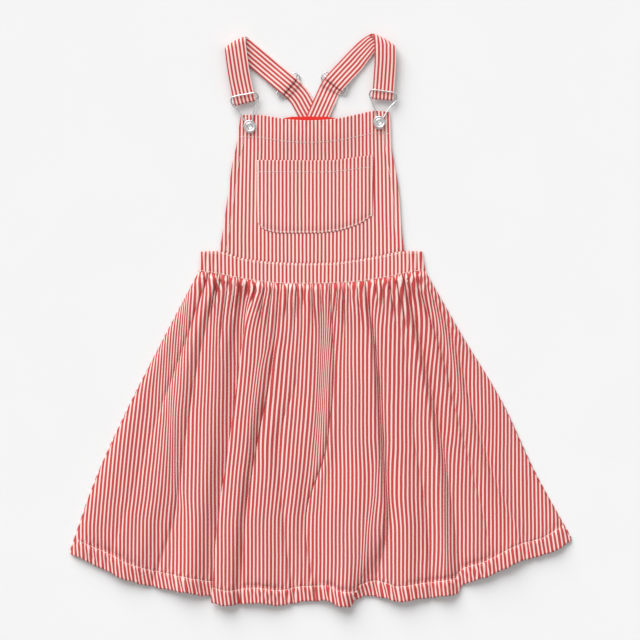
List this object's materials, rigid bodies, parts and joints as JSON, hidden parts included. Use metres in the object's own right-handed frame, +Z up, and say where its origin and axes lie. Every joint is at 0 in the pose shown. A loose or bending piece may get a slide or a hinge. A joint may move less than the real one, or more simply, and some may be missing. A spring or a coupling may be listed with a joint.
{
  "type": "pinafore dress",
  "caption": "Child's striped pinafore dress laid flat, face up: gathered A-line skirt, waistband, bib with patch pocket, and shoulder straps on wire clips and tack buttons.",
  "frame": {"origin": "under the middle of the laid-out dress, on the surface it lies on", "axes": "+X to the viewer's right as the dress lies face up, +Y from the hem to the shoulders, +Z up from the surface"},
  "size_m": [0.6285, 0.718, 0.0151],
  "materials": {
    "striped_cloth": "matt woven cotton, red and ecru stripes",
    "red_tape": "matt cotton tape",
    "nickel": "bright nickel plate"
  },
  "bodies": {
    "root": {"skirt_front": "striped_cloth", "skirt_back": "striped_cloth", "waistband_front": "striped_cloth", "waistband_back": "striped_cloth", "bib_front": "striped_cloth", "bib_pocket": "striped_cloth", "bib_back": "striped_cloth", "strap_left": "striped_cloth", "strap_right": "striped_cloth", "back_binding": "red_tape", "clip_left": "nickel", "clip_right": "nickel", "slider_left": "nickel", "slider_right": "nickel", "button_left": "nickel", "button_right": "nickel"}
  },
  "joints": []
}
